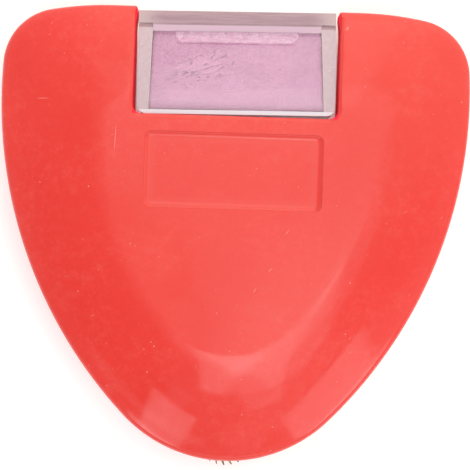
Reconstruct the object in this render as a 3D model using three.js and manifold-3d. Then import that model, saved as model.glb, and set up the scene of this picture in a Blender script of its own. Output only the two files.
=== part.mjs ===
// A refillable chalk marker for tailors: a flat, three-cornered red case that holds powder and runs it
// onto a toothed brass wheel at its tip. A clear cartridge plugs into a notch in the wide end.
// Millimetres, +Z up. The marker lies on its back with its front face up, the cartridge towards +Y and
// the wheel towards -Y. The origin is on the resting plane, under the middle of the marker's box.
import * as THREE from 'three';
import { mergeVertices } from 'three/addons/utils/BufferGeometryUtils.js';
import Module from 'manifold-3d';

const wasm = await Module();
wasm.setup();

// Outline of the case: a flat top edge, shoulders, corners, long sides and a round tip, all tangent
const caseWidth = 65;
const caseLength = 62.75;
const topFlatHalf = 17.2;
const shoulderRadius = 45.8;
const cornerRadius = 8;
const sideRadius = 63.5;
const tipRadius = 20;

// Section of the case: two shallow domes with flat middles, closed along a straight rim
const caseThickness = 13;
const domeDrop = 2.5;
const edgeRadius = 1;
const flatShare = 0.55;
const domeCentreDrop = 29.5;
const rimWall = 1.5;
const skinWall = 1.4;
const ribWall = 1.2;

// Notch for the cartridge, open through both shells
const notchWidth = 28.3;
const notchDepth = 15;
const notchCornerRadius = 1.2;
const notchMouthRadius = 0.5;
const notchWall = 1.3;
const nibLength = 0.6;
const nibHeight = 0.2;
const scallopLength = 3.4;
const scallopDepth = 0.15;

// Plain recess for a label in the front face
const labelWidth = 24.7;
const labelHeight = 10.6;
const labelCornerRadius = 1.05;
const labelDepth = 0.3;
const labelBelowNotch = 2.3;

// Cartridge: a clear box with a thicker lid plate, and a spigot that plugs into the case
const cartridgeSideGap = 0.5;
const cartridgeSeatGap = 0.2;
const cartridgeTopStep = 0.45;
const cartridgeSkew = 0.9;
const lidThickness = 1.75;
const lidBelowCase = 0.1;
const lidSlope = 1;
const windowBelowCase = 0.55;
const windowWall = 1.2;
const windowSideWall = 1.95;
const windowDraft = 0.45;
const windowFloor = 0.5;
const nailRecessWidth = 17.2;
const nailRecessHeight = 2.4;
const nailRecessRadius = 0.7;
const nailRecessDepth = 0.3;
const spigotWidth = 25.4;
const spigotHalfDepth = 3.9;
const spigotLength = 11;
const spigotWall = 1.1;
const spigotSideGap = 0.55;
const spigotFaceGap = 0.25;

// Brass wheel with raked teeth, on a steel pin between two bosses
const wheelRadius = 4.2;
const wheelReach = 0.75;
const wheelThickness = 1;
const toothCount = 25;
const toothDepth = 0.75;
const toothTipWidth = 0.2;
const toothRake = 0.65;
const hubRadius = 1.5;
const hubThickness = 1.5;
const hubRunningGap = 0.12;
const wheelSlotGap = 0.45;
const axleRadius = 0.5;
const axleBoreGap = 0.1;
const axleSeatGap = 0.05;
const axleEndGap = 0.15;
const axleSeatDepth = 2.3;
const axleBossWall = 1.1;
const axleChamfer = 0.15;

// Powder passage from the spigot to the wheel
const passageGap = 0.6;
const throatWall = 0.5;
const throatAboveWheel = 2.5;
const powderGap = 0.2;

// Pins on the back shell that plug into sockets in the front shell
const pinRadius = 1.2;
const pinLength = 2.4;
const pinGap = 0.12;
const postRadius = 2.4;
const upperPinX = 23;
const upperPinBelowTop = 9;
const lowerPinX = 15;
const lowerPinBelowTop = 42;

// Derived places
const halfThickness = caseThickness / 2;
const topY = (caseLength + wheelReach) / 2;
const tipY = topY - caseLength;
const domeCentreY = topY - domeCentreDrop;
const notchBottomY = topY - notchDepth;
const notchHalf = notchWidth / 2;
const cartridgeHalf = notchHalf - cartridgeSideGap;
const cartridgeTopY = topY - cartridgeTopStep;
const cartridgeSeatY = notchBottomY + cartridgeSeatGap;
const lidBottomY = cartridgeTopY - lidThickness;
const spigotEndY = cartridgeSeatY - spigotLength;
const spigotHalf = spigotWidth / 2;
const passageHalf = spigotHalf + spigotSideGap;
const passageDepth = spigotHalfDepth + spigotFaceGap;
const wheelY = tipY - wheelReach + wheelRadius;
const slotHalfDepth = hubThickness / 2 + hubRunningGap;
const slotRadius = wheelRadius + wheelSlotGap;
const axleSeatTop = slotHalfDepth + axleSeatDepth;
const axleBossRadius = axleRadius + axleSeatGap + axleBossWall;
const throatHalf = slotRadius + throatWall;
const throatY = wheelY + throatAboveWheel;

// Steps along each arc of the outline, and the steps of the rounds
const flatSteps = 3;
const shoulderSteps = 4;
const cornerSteps = 9;
const sideSteps = 9;
const tipSteps = 5;
const edgeSteps = 3;
const domeSteps = 6;
const roundSteps = 5;
const postSteps = 20;
const wheelSteps = 30;

// Cutting shapes run this far past the surfaces that they cut
const margin = 2;

// Where two circles meet, on the left of the line from the first centre to the second
function circlesMeet(a, radiusA, b, radiusB) {
  const between = b.clone().sub(a);
  const distance = between.length();
  const along = (radiusA ** 2 - radiusB ** 2 + distance ** 2) / (2 * distance);
  const across = Math.sqrt(radiusA ** 2 - along ** 2);
  const direction = between.divideScalar(distance);
  return new THREE.Vector2(
    a.x + direction.x * along - direction.y * across,
    a.y + direction.y * along + direction.x * across,
  );
}

// Points on an arc, by angles that run clockwise from +Y
function arcPoints(centre, radius, from, to, steps) {
  const points = [];
  for (let i = 1; i <= steps; i += 1) {
    const angle = from + ((to - from) * i) / steps;
    points.push(new THREE.Vector2(centre.x + radius * Math.sin(angle), centre.y + radius * Math.cos(angle)));
  }
  return points;
}

function bearing(from, to) {
  return Math.atan2(to.x - from.x, to.y - from.y);
}

// The outline of the case, moved inwards by an inset, counterclockwise from the middle of the top edge
function caseOutline(inset) {
  const shoulder = new THREE.Vector2(topFlatHalf, topY - shoulderRadius);
  const tip = new THREE.Vector2(0, tipY + tipRadius);
  const sideX = caseWidth / 2 - sideRadius;
  const side = new THREE.Vector2(sideX, tip.y + Math.sqrt((sideRadius - tipRadius) ** 2 - sideX ** 2));
  const corner = circlesMeet(side, sideRadius - cornerRadius, shoulder, shoulderRadius - cornerRadius);
  const shoulderEnd = bearing(shoulder, corner);
  const cornerEnd = bearing(side, corner);
  const sideEnd = bearing(side, tip);
  const widestAngle = Math.PI / 2;
  const right = [];
  for (let i = 1; i <= flatSteps; i += 1) {
    right.push(new THREE.Vector2((topFlatHalf * i) / flatSteps, topY - inset));
  }
  right.push(...arcPoints(shoulder, shoulderRadius - inset, 0, shoulderEnd, shoulderSteps));
  right.push(...arcPoints(corner, cornerRadius - inset, shoulderEnd, cornerEnd, cornerSteps));
  right.push(...arcPoints(side, sideRadius - inset, cornerEnd, widestAngle, 1));
  right.push(...arcPoints(side, sideRadius - inset, widestAngle, sideEnd, sideSteps));
  right.push(...arcPoints(tip, tipRadius - inset, sideEnd, Math.PI, tipSteps));
  const tipPoint = right.pop();
  const left = right.map((point) => new THREE.Vector2(-point.x, point.y));
  return [new THREE.Vector2(0, topY - inset), ...left, tipPoint.setX(0), ...right.reverse()];
}

// One ring of points at a height, drawn in towards the middle of the dome
function ring(inset, scale, z) {
  return caseOutline(inset).map((point) => new THREE.Vector3(
    point.x * scale,
    domeCentreY + (point.y - domeCentreY) * scale,
    z,
  ));
}

// The angle at which the dome meets its rounded edge
function domeSlope() {
  const meanReach = (caseWidth + caseLength) / 4;
  return Math.atan((2 * domeDrop) / (meanReach * (1 - flatShare)));
}

// The rings of one dome, from the rim up to its flat middle. The wall moves the rim inwards and the
// skin lowers the top, for the hollow inside and for what lies flush with the case
function domeRings(wall, skin) {
  const rimTop = halfThickness - domeDrop - edgeRadius - skin;
  const slope = domeSlope();
  const rings = [ring(wall, 1, rimTop)];
  for (let i = 1; i <= edgeSteps; i += 1) {
    const angle = ((Math.PI / 2 - slope) * i) / edgeSteps;
    rings.push(ring(wall + edgeRadius * (1 - Math.cos(angle)), 1, rimTop + edgeRadius * Math.sin(angle)));
  }
  const domeStartInset = wall + edgeRadius * (1 - Math.sin(slope));
  const domeStartZ = rimTop + edgeRadius * Math.cos(slope);
  const topZ = halfThickness - skin;
  for (let i = 1; i <= domeSteps; i += 1) {
    const share = 1 - i / domeSteps;
    const scale = flatShare + (1 - flatShare) * share;
    rings.push(ring(domeStartInset, scale, topZ - (topZ - domeStartZ) * share ** 2));
  }
  return rings;
}

// A closed solid through a stack of like rings, with a flat fan over each end
function stackRings(rings) {
  const count = rings[0].length;
  const positions = rings.flat().flatMap((point) => [point.x, point.y, point.z]);
  const first = rings[0][0];
  const last = rings[rings.length - 1][0];
  const bottom = rings.length * count;
  const top = bottom + 1;
  positions.push(0, domeCentreY, first.z, 0, domeCentreY, last.z);
  const index = [];
  for (let k = 0; k < rings.length - 1; k += 1) {
    for (let i = 0; i < count; i += 1) {
      const a = k * count + i;
      const b = k * count + ((i + 1) % count);
      index.push(a, b, b + count, a, b + count, a + count);
    }
  }
  const lastRing = (rings.length - 1) * count;
  for (let i = 0; i < count; i += 1) {
    const next = (i + 1) % count;
    index.push(bottom, next, i);
    index.push(top, lastRing + i, lastRing + next);
  }
  const geometry = new THREE.BufferGeometry();
  geometry.setAttribute('position', new THREE.Float32BufferAttribute(positions, 3));
  geometry.setIndex(index);
  return solidOf(geometry);
}

// Half of the case's form, from the parting plane at z = 0 up
function domeSolid(wall, skin, floorZ) {
  return stackRings([ring(wall, 1, floorZ), ...domeRings(wall, skin)]);
}

// The case's whole form, the same on both sides of the parting plane
function lensSolid(wall, skin) {
  const upper = domeRings(wall, skin);
  const lower = domeRings(wall, skin).reverse();
  lower.forEach((points) => points.forEach((point) => point.setZ(-point.z)));
  return stackRings([...lower, ...upper]);
}

// The height of the dome above the parting plane, behind the straight stretch of its top edge
function domeHeight(y) {
  const slope = domeSlope();
  const reach = topY - edgeRadius * (1 - Math.sin(slope)) - domeCentreY;
  const share = Math.max(0, ((y - domeCentreY) / reach - flatShare) / (1 - flatShare));
  return halfThickness - (domeDrop + edgeRadius * (1 - Math.cos(slope))) * share ** 2;
}

// A closed three.js geometry as a solid that can be cut and joined
function solidOf(geometry) {
  geometry.deleteAttribute('normal');
  geometry.deleteAttribute('uv');
  const merged = mergeVertices(geometry, 1e-5);
  return new wasm.Manifold(new wasm.Mesh({
    numProp: 3,
    vertProperties: new Float32Array(merged.attributes.position.array),
    triVerts: new Uint32Array(merged.index.array),
  }));
}

function geometryOf(solid) {
  const mesh = solid.getMesh();
  const geometry = new THREE.BufferGeometry();
  geometry.setAttribute('position', new THREE.BufferAttribute(mesh.vertProperties, 3));
  geometry.setIndex(new THREE.BufferAttribute(mesh.triVerts, 1));
  const facets = geometry.toNonIndexed();
  facets.computeVertexNormals();
  return facets;
}

// A shape in the XY plane as a solid between two heights
function prism(shape, fromZ, toZ) {
  const geometry = new THREE.ExtrudeGeometry(shape, {
    depth: toZ - fromZ,
    bevelEnabled: false,
    curveSegments: roundSteps,
  });
  geometry.translate(0, 0, fromZ);
  return solidOf(geometry);
}

function cylinder(radius, x, y, fromZ, toZ, steps) {
  const geometry = new THREE.CylinderGeometry(radius, radius, toZ - fromZ, steps);
  geometry.rotateX(Math.PI / 2);
  geometry.translate(x, y, (fromZ + toZ) / 2);
  return solidOf(geometry);
}

function box(halfX, fromY, toY, halfZ) {
  const geometry = new THREE.BoxGeometry(halfX * 2, toY - fromY, halfZ * 2);
  geometry.translate(0, (fromY + toY) / 2, 0);
  return solidOf(geometry);
}

// A closed shape that is the same left and right, from the corners of its right half, top to bottom
function mirroredShape(corners) {
  const left = corners.map(([x, y]) => new THREE.Vector2(-x, y)).reverse();
  return new THREE.Shape([...corners.map(([x, y]) => new THREE.Vector2(x, y)), ...left]);
}

function roundedRectangle(halfX, fromY, toY, lowerRadius, upperRadius) {
  const shape = new THREE.Shape();
  shape.moveTo(-halfX + lowerRadius, fromY);
  shape.lineTo(halfX - lowerRadius, fromY);
  shape.absarc(halfX - lowerRadius, fromY + lowerRadius, lowerRadius, -Math.PI / 2, 0);
  if (upperRadius > 0) {
    shape.absarc(halfX - upperRadius, toY - upperRadius, upperRadius, 0, Math.PI / 2);
    shape.absarc(-halfX + upperRadius, toY - upperRadius, upperRadius, Math.PI / 2, Math.PI);
  } else {
    shape.lineTo(halfX, toY);
    shape.lineTo(-halfX, toY);
  }
  shape.absarc(-halfX + lowerRadius, fromY + lowerRadius, lowerRadius, Math.PI, Math.PI * 1.5);
  return shape;
}

// The notch, with a nib at each side of its mouth, a shallow scallop below it, and rounded corners
function notchShape() {
  const scallopTop = topY - notchMouthRadius - nibLength;
  const scallopBottom = scallopTop - scallopLength;
  const scallopMiddle = (scallopTop + scallopBottom) / 2;
  const nibX = notchHalf - nibHeight;
  const bulge = notchHalf + scallopDepth * 2;
  const over = topY + margin;
  const cornerX = notchHalf - notchCornerRadius;
  const cornerY = notchBottomY + notchCornerRadius;
  const shape = new THREE.Shape();
  shape.moveTo(-cornerX, notchBottomY);
  shape.lineTo(cornerX, notchBottomY);
  shape.absarc(cornerX, cornerY, notchCornerRadius, -Math.PI / 2, 0);
  shape.lineTo(notchHalf, scallopBottom);
  shape.quadraticCurveTo(bulge, scallopMiddle, nibX, scallopTop);
  shape.lineTo(nibX, topY - notchMouthRadius);
  shape.quadraticCurveTo(nibX, topY, nibX + notchMouthRadius, topY);
  shape.lineTo(nibX + notchMouthRadius, over);
  shape.lineTo(-nibX - notchMouthRadius, over);
  shape.lineTo(-nibX - notchMouthRadius, topY);
  shape.quadraticCurveTo(-nibX, topY, -nibX, topY - notchMouthRadius);
  shape.lineTo(-nibX, scallopTop);
  shape.quadraticCurveTo(-bulge, scallopMiddle, -notchHalf, scallopBottom);
  shape.lineTo(-notchHalf, cornerY);
  shape.absarc(-cornerX, cornerY, notchCornerRadius, Math.PI, Math.PI * 1.5);
  return shape;
}

// The inside of the funnel that carries powder from the spigot to the wheel, widened by a wall
function funnelShape(widen, topEdgeY, lowEdgeY) {
  return mirroredShape([
    [throatHalf + widen, lowEdgeY],
    [throatHalf + widen, throatY],
    [passageHalf + widen, spigotEndY - passageGap],
    [passageHalf + widen, topEdgeY],
  ]);
}

// Where the pins and their sockets stand
function pinPlaces() {
  return [
    [-upperPinX, topY - upperPinBelowTop],
    [upperPinX, topY - upperPinBelowTop],
    [-lowerPinX, topY - lowerPinBelowTop],
    [lowerPinX, topY - lowerPinBelowTop],
  ];
}

function atPins(radius, fromZ, toZ) {
  const solids = pinPlaces().map(([x, y]) => cylinder(radius, x, y, fromZ, toZ, postSteps));
  return solids.reduce((joined, solid) => joined.add(solid));
}

// One shell, on the parting plane with its dome up: a hollow dome with the walls round the notch, the
// funnel, the posts and the axle boss left standing in it
function halfShell() {
  const over = halfThickness + margin;
  const funnelTopY = notchBottomY - notchWall;
  const funnelLowY = tipY - margin;
  const funnelInside = prism(funnelShape(0, funnelTopY, funnelLowY), -margin, over);
  const funnelWalls = prism(funnelShape(ribWall, funnelTopY, funnelLowY), -margin, over)
    .subtract(funnelInside);
  const notchWalls = prism(
    roundedRectangle(notchHalf + notchWall, funnelTopY, topY + margin, notchCornerRadius + notchWall, 0),
    -margin,
    over,
  );
  const posts = atPins(postRadius, -margin, over);
  const axleBoss = cylinder(axleBossRadius, 0, wheelY, -margin, over, postSteps);
  const hollow = domeSolid(rimWall, skinWall, -margin)
    .subtract(funnelWalls)
    .subtract(notchWalls)
    .subtract(posts)
    .subtract(axleBoss);
  const wheelSlot = cylinder(slotRadius, 0, wheelY, -margin, slotHalfDepth, wheelSteps);
  const axleSeat = cylinder(axleRadius + axleSeatGap, 0, wheelY, -margin, axleSeatTop, postSteps);
  return domeSolid(0, 0, 0)
    .subtract(hollow)
    .subtract(prism(notchShape(), -margin, over))
    .subtract(box(passageHalf, funnelTopY - margin, notchBottomY + margin, passageDepth))
    .subtract(wheelSlot)
    .subtract(axleSeat);
}

function frontShell() {
  const labelTopY = notchBottomY - labelBelowNotch;
  const labelLowY = labelTopY - labelHeight;
  const label = prism(
    roundedRectangle(labelWidth / 2, labelLowY, labelTopY, labelCornerRadius, labelCornerRadius),
    halfThickness - labelDepth,
    halfThickness + margin,
  );
  return halfShell()
    .subtract(label)
    .subtract(atPins(pinRadius + pinGap, -margin, pinLength + pinGap));
}

function backShell() {
  return halfShell().add(atPins(pinRadius, -pinLength, pinLength));
}

// The room inside the cartridge: it narrows towards the lid, and is smaller by a gap for the powder
function cartridgeRoom(gap) {
  const topHalf = cartridgeHalf - windowSideWall - gap;
  const upperRoom = prism(
    mirroredShape([
      [topHalf + windowDraft, cartridgeSeatY + windowFloor + gap],
      [topHalf, lidBottomY - gap],
    ]),
    -halfThickness,
    halfThickness,
  ).intersect(lensSolid(0, windowBelowCase + windowWall + gap));
  const bore = box(
    spigotHalf - spigotWall - gap,
    spigotEndY - (gap > 0 ? -gap : margin),
    cartridgeSeatY + windowFloor + margin,
    spigotHalfDepth - spigotWall - gap,
  );
  return upperRoom.add(bore);
}

// The step from the window up to the lid is a slope, on both faces of the cartridge
function lidSlopes() {
  const lowY = lidBottomY - lidSlope;
  const topHalf = cartridgeHalf - windowSideWall;
  const section = mirroredShape([
    [domeHeight(lidBottomY) - lidBelowCase * 2, lidBottomY + lidThickness / 2],
    [domeHeight(lidBottomY) - lidBelowCase * 2, lidBottomY],
    [domeHeight(lowY) - windowBelowCase, lowY],
  ]);
  return prism(section, -topHalf, topHalf).rotate([0, 90, 0]);
}

function refillCartridge() {
  const outside = roundedRectangle(cartridgeHalf, cartridgeSeatY, cartridgeTopY, notchCornerRadius, 0);
  const whole = prism(outside, -halfThickness, halfThickness);
  const lid = whole
    .intersect(box(notchHalf, lidBottomY, topY, halfThickness))
    .intersect(lensSolid(0, lidBelowCase));
  const window = whole
    .intersect(box(notchHalf, cartridgeSeatY, lidBottomY + lidThickness / 2, halfThickness))
    .intersect(lensSolid(0, windowBelowCase));
  const spigot = box(spigotHalf, spigotEndY, cartridgeSeatY + windowFloor / 2, spigotHalfDepth);
  const nailRecess = prism(
    roundedRectangle(nailRecessWidth / 2, lidBottomY - nailRecessHeight, lidBottomY, nailRecessRadius, 0),
    0,
    halfThickness,
  ).subtract(lensSolid(0, windowBelowCase + nailRecessDepth));
  return window.subtract(nailRecess).add(lid).add(lidSlopes()).add(spigot).subtract(cartridgeRoom(0));
}

// What is left of the powder below the cartridge, in the funnel round the wheel
function funnelPowder() {
  const topEdgeY = spigotEndY - passageGap;
  const lowEdgeY = tipY + rimWall + powderGap;
  const keepOut = (radius, steps) => cylinder(radius, 0, wheelY, -halfThickness, halfThickness, steps);
  const room = lensSolid(rimWall, skinWall + powderGap)
    .intersect(box(caseWidth, wheelY + slotRadius, topEdgeY, halfThickness));
  return prism(funnelShape(-powderGap, topEdgeY, lowEdgeY), -halfThickness, halfThickness)
    .intersect(room)
    .subtract(keepOut(axleBossRadius + powderGap, postSteps))
    .subtract(keepOut(slotRadius, wheelSteps));
}

// One outline of raked teeth: each has a narrow tip that hooks over its face, and a long hollow back
function wheelShape() {
  const pitch = (Math.PI * 2) / toothCount;
  const rootRadius = wheelRadius - toothDepth;
  const tipAngle = toothTipWidth / wheelRadius;
  const at = (radius, angle) => [radius * Math.cos(angle), radius * Math.sin(angle)];
  const shape = new THREE.Shape();
  for (let i = 0; i < toothCount; i += 1) {
    const tip = -Math.PI / 2 + i * pitch;
    const gullet = tip + pitch * (0.5 - toothRake);
    if (i === 0) {
      shape.moveTo(...at(wheelRadius, tip - tipAngle / 2));
    }
    shape.lineTo(...at(wheelRadius, tip + tipAngle / 2));
    shape.lineTo(...at(rootRadius, gullet));
    const nextTip = at(wheelRadius, tip + pitch - tipAngle / 2);
    shape.quadraticCurveTo(...at(rootRadius, tip + pitch * 0.6), ...nextTip);
  }
  return shape;
}

function markingWheel() {
  const disc = prism(wheelShape(), -wheelThickness / 2, wheelThickness / 2);
  const hub = cylinder(hubRadius, 0, 0, -hubThickness / 2, hubThickness / 2, postSteps);
  const bore = cylinder(axleRadius + axleBoreGap, 0, 0, -margin, margin, postSteps);
  return disc.add(hub).subtract(bore);
}

function wheelAxle() {
  const end = axleSeatTop - axleEndGap;
  const profile = [
    new THREE.Vector2(0, -end),
    new THREE.Vector2(axleRadius - axleChamfer, -end),
    new THREE.Vector2(axleRadius, -end + axleChamfer),
    new THREE.Vector2(axleRadius, end - axleChamfer),
    new THREE.Vector2(axleRadius - axleChamfer, end),
    new THREE.Vector2(0, end),
  ];
  const geometry = new THREE.LatheGeometry(profile, postSteps);
  geometry.rotateX(Math.PI / 2);
  return solidOf(geometry);
}

const redPlastic = { color: 0xf0524a, roughness: 0.28, metalness: 0 };
const clearPlastic = { color: 0xe4d8d6, roughness: 0.1, metalness: 0, transparent: true, opacity: 0.45 };
const pinkPowder = { color: 0xe2a8c8, roughness: 0.95, metalness: 0 };
const brass = { color: 0xb08a45, roughness: 0.4, metalness: 1 };
const steel = { color: 0xb9bcc0, roughness: 0.35, metalness: 1 };

function part(name, solid, finish) {
  const mesh = new THREE.Mesh(geometryOf(solid), new THREE.MeshStandardMaterial(finish));
  mesh.name = name;
  return mesh;
}

// Everything is placed from the parting plane, at half the thickness above the resting plane
const marker = new THREE.Group();
marker.position.z = halfThickness;

const front = part('front_shell', frontShell(), redPlastic);
const back = part('back_shell', backShell(), redPlastic);
back.rotation.y = Math.PI;
const chamberPowder = part('funnel_powder', funnelPowder(), pinkPowder);

// The cartridge sits a little askew in its notch, turned about the middle of the notch
const cartridge = new THREE.Group();
const cartridgePivotY = (topY + notchBottomY) / 2;
const cartridgeParts = [
  part('refill_cartridge', refillCartridge(), clearPlastic),
  part('cartridge_powder', cartridgeRoom(powderGap), pinkPowder),
];
cartridgeParts.forEach((mesh) => mesh.geometry.translate(0, -cartridgePivotY, 0));
cartridge.add(...cartridgeParts);
cartridge.position.y = cartridgePivotY;
cartridge.rotation.z = THREE.MathUtils.degToRad(cartridgeSkew);

// The wheel and its pin share one axis, square to the face of the marker
const wheelSet = new THREE.Group();
wheelSet.position.y = wheelY;
wheelSet.add(part('marking_wheel', markingWheel(), brass), part('wheel_axle', wheelAxle(), steel));

marker.add(front, back, chamberPowder, cartridge, wheelSet);

export default marker;
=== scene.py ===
"""A refillable chalk marker for tailors: a flat red three-cornered case, a clear cartridge of pink powder
plugged into its wide end, and a toothed brass wheel at its tip. It lies on its back on a pale floor."""
import math

import bpy
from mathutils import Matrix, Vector


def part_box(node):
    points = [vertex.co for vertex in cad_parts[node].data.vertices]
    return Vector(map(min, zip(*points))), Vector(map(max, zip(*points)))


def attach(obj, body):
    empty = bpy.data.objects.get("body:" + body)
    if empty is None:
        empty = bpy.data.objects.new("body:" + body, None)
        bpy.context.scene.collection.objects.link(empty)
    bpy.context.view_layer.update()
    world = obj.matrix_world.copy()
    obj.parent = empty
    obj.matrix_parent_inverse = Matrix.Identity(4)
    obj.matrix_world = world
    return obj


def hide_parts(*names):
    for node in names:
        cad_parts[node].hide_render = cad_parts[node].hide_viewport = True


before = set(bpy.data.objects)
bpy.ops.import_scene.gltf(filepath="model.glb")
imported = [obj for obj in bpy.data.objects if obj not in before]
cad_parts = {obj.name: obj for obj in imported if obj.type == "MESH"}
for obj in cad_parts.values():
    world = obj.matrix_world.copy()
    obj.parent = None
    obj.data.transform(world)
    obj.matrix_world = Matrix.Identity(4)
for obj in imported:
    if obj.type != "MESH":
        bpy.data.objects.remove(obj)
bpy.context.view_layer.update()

# Camera
# A copy-stand view from straight above. The marker lies turned a little clockwise in the picture.

MM = 0.001
PICTURE_WIDTH = 65.2 * MM
CAMERA_HEIGHT = 0.42
OUTLINE_HEIGHT = 9.5 * MM
VIEW_CENTRE = Vector((0.52, 0.39, 0)) * MM
PICTURE_TURN = math.radians(1.853)
SENSOR_WIDTH_MM = 36

bpy.ops.object.select_all(action="DESELECT")
bpy.ops.object.camera_add(location=(VIEW_CENTRE.x, VIEW_CENTRE.y, CAMERA_HEIGHT),
                          rotation=(0, 0, PICTURE_TURN))
camera = bpy.context.object
camera.data.sensor_width = SENSOR_WIDTH_MM
camera.data.lens = SENSOR_WIDTH_MM * (CAMERA_HEIGHT - OUTLINE_HEIGHT) / PICTURE_WIDTH
camera.data.clip_start = 10 * MM
bpy.context.scene.camera = camera


# Case shells
# Two mouldings of glossy red plastic, each a shallow dome with a thin wall, closed face to face at the
# rim. Walls inside frame the notch and the powder funnel. Pins on the back shell hold the front one.

CASE_LOW, CASE_HIGH = (Vector(corner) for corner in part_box("front_shell"))
CASE_TOP = CASE_HIGH.y
CASE_TIP = CASE_LOW.y
CASE_HALF_WIDTH = CASE_HIGH.x
HALF_THICKNESS = CASE_HIGH.z / 2
TOP_FLAT_HALF = 17.2 * MM
SHOULDER_RADIUS = 45.8 * MM
CORNER_RADIUS = 8 * MM
SIDE_RADIUS = 63.5 * MM
TIP_RADIUS = 20 * MM
DOME_DROP = 2.5 * MM
EDGE_RADIUS = 1 * MM
FLAT_SHARE = 0.55
DOME_CENTRE_Y = CASE_TOP - 29.5 * MM
PARTING_CHAMFER = 0.12 * MM
RIM_WALL = 1.5 * MM
SKIN_WALL = 1.4 * MM
RIB_WALL = 1.2 * MM
NOTCH_HALF = 14.15 * MM
NOTCH_BOTTOM = CASE_TOP - 15 * MM
NOTCH_CORNER_RADIUS = 1.2 * MM
NOTCH_WALL = 1.3 * MM
NOTCH_EDGE_ROUND = 0.5 * MM
MOUTH_RADIUS = 0.5 * MM
NIB_LENGTH = 0.6 * MM
NIB_HEIGHT = 0.2 * MM
SCALLOP_LENGTH = 3.4 * MM
SCALLOP_BULGE = 0.1 * MM
PASSAGE_HALF = 13.25 * MM
PASSAGE_HALF_DEPTH = 4.15 * MM
PASSAGE_END = NOTCH_BOTTOM - 11.4 * MM
AXLE_LOW, AXLE_HIGH = (Vector(corner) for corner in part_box("wheel_axle"))
WHEEL_CENTRE = (AXLE_LOW + AXLE_HIGH) / 2
WHEEL_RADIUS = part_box("marking_wheel")[1][0]
SLOT_RADIUS = WHEEL_RADIUS + 0.45 * MM
SLOT_HALF_DEPTH = 0.87 * MM
THROAT_HALF = SLOT_RADIUS + 0.5 * MM
THROAT_Y = WHEEL_CENTRE.y + 2.5 * MM
AXLE_SEAT_RADIUS = 0.55 * MM
AXLE_SEAT_TOP = 3.17 * MM
AXLE_BOSS_RADIUS = 1.65 * MM
PIN_PLACES = [(x * MM, CASE_TOP - y * MM) for x, y in ((-23, 9), (23, 9), (-15, 42), (15, 42))]
PIN_RADIUS = 1.2 * MM
PIN_LENGTH = 2.4 * MM
SOCKET_RADIUS = 1.32 * MM
SOCKET_DEPTH = PIN_LENGTH + MM / 10
POST_RADIUS = 2.4 * MM
LABEL_HALF = Vector((12.35, 5.3)) * MM
LABEL_TOP = NOTCH_BOTTOM - 2.3 * MM
LABEL_LOW = LABEL_TOP - LABEL_HALF.y * 2
LABEL_CORNER_RADIUS = 1.05 * MM
LABEL_DEPTH = 0.3 * MM
LABEL_FOOT = 0.8 * MM
PAST = 2 * MM  # how far a cutting shape runs past what it cuts


def new_drawing(name, x, y, z=0):
    """One vertex, in edit mode, from which an outline is drawn by extruding it."""
    bpy.ops.object.select_all(action="DESELECT")
    bpy.ops.mesh.primitive_plane_add(size=MM)
    bpy.context.object.name = name
    bpy.ops.object.mode_set(mode="EDIT")
    bpy.ops.mesh.select_mode(type="VERT")
    bpy.ops.mesh.merge(type="CENTER")
    bpy.ops.transform.translate(value=(x, y, z))
    return bpy.context.object


def draw_line(dx, dy, steps=1, dz=0):
    step = (dx / steps, dy / steps, dz / steps)
    for _ in range(steps):
        bpy.ops.mesh.extrude_region_move(TRANSFORM_OT_translate={"value": step})


def draw_arc(centre, turn, steps):
    """Turns the end of the drawing about a centre, clockwise seen from above where turn is positive."""
    bpy.ops.mesh.spin(steps=steps, angle=turn, center=(centre[0], centre[1], 0), axis=(0, 0, 1))


def mirror_and_fill():
    """Makes a whole outline from its right half, and one face across it."""
    bpy.ops.mesh.select_all(action="SELECT")
    bpy.ops.mesh.duplicate()
    bpy.ops.transform.resize(value=(-1, 1, 1), center_override=(0, 0, 0))
    bpy.ops.mesh.select_all(action="SELECT")
    bpy.ops.mesh.remove_doubles(threshold=MM / 100)
    bpy.ops.mesh.edge_face_add()


def pull_up(low, high):
    """Moves the face to its lower height and extrudes it to the upper one."""
    bpy.ops.transform.translate(value=(0, 0, low))
    draw_line(0, 0, dz=high - low)


def leave_drawing():
    """Points the faces of a finished solid outwards and leaves edit mode."""
    bpy.ops.mesh.select_all(action="SELECT")
    bpy.ops.mesh.normals_make_consistent(inside=False)
    bpy.ops.object.mode_set(mode="OBJECT")
    return bpy.context.object


def use_alone(body):
    bpy.ops.object.select_all(action="DESELECT")
    body.select_set(True)
    bpy.context.view_layer.objects.active = body


def apply_modifier(body, kind, **settings):
    modifier = body.modifiers.new(kind.lower(), kind)
    for key, value in settings.items():
        setattr(modifier, key, value)
    use_alone(body)
    bpy.ops.object.modifier_apply(modifier=modifier.name)


def join_or_cut(target, tool, operation):
    """Adds a solid to the target or cuts it out, and takes it away."""
    apply_modifier(target, "BOOLEAN", object=tool, operation=operation, solver="EXACT")
    bpy.data.objects.remove(tool)


def cut(target, *tools):
    for tool in tools:
        join_or_cut(target, tool, "DIFFERENCE")


def round_rod(name, radius, x, y, low, high, vertices=48):
    bpy.ops.object.select_all(action="DESELECT")
    bpy.ops.mesh.primitive_cylinder_add(vertices=vertices, radius=radius, depth=high - low,
                                        location=(x, y, (low + high) / 2))
    bpy.context.object.name = name
    bpy.ops.object.transform_apply()
    return bpy.context.object


def block(name, half_x, y_low, y_high, z_low, z_high):
    bpy.ops.object.select_all(action="DESELECT")
    bpy.ops.mesh.primitive_cube_add(size=1, location=(0, (y_low + y_high) / 2, (z_low + z_high) / 2),
                                    scale=(half_x * 2, y_high - y_low, z_high - z_low))
    bpy.context.object.name = name
    bpy.ops.object.transform_apply()
    return bpy.context.object


def bearing(start, end):
    return math.atan2(end.x - start.x, end.y - start.y)


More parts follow.
